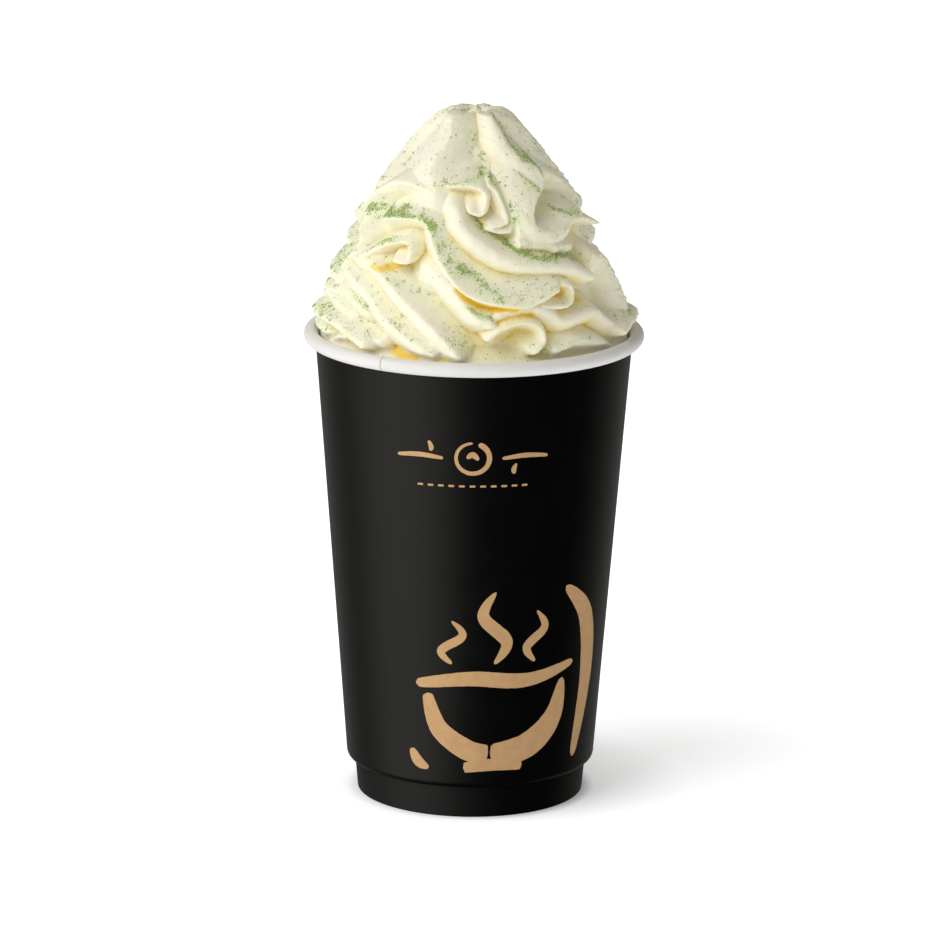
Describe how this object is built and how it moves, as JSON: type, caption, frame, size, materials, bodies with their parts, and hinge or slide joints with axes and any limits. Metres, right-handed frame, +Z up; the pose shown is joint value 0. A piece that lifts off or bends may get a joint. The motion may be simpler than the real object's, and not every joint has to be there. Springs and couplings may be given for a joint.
{
  "type": "cheese foam tea",
  "caption": "Takeaway tea in a tall double-walled paper cup with a rolled rim, under a high piped swirl of cheese foam.",
  "frame": {"origin": "on the floor, at the centre of the cup's foot", "axes": "+Z up along the cup's axis, -Y towards the front, which carries the printed ornament"},
  "size_m": [0.09, 0.09, 0.1848],
  "materials": {
    "white_paperboard": "matte",
    "black_paperboard": "satin",
    "cheese_foam": "satin",
    "green_tea_powder": "matte",
    "gold_ink": "satin"
  },
  "bodies": {
    "root": {"cup_wall": "white_paperboard", "cup_base": "white_paperboard", "sleeve": "black_paperboard", "cheese_foam": "cheese_foam"}
  },
  "joints": []
}
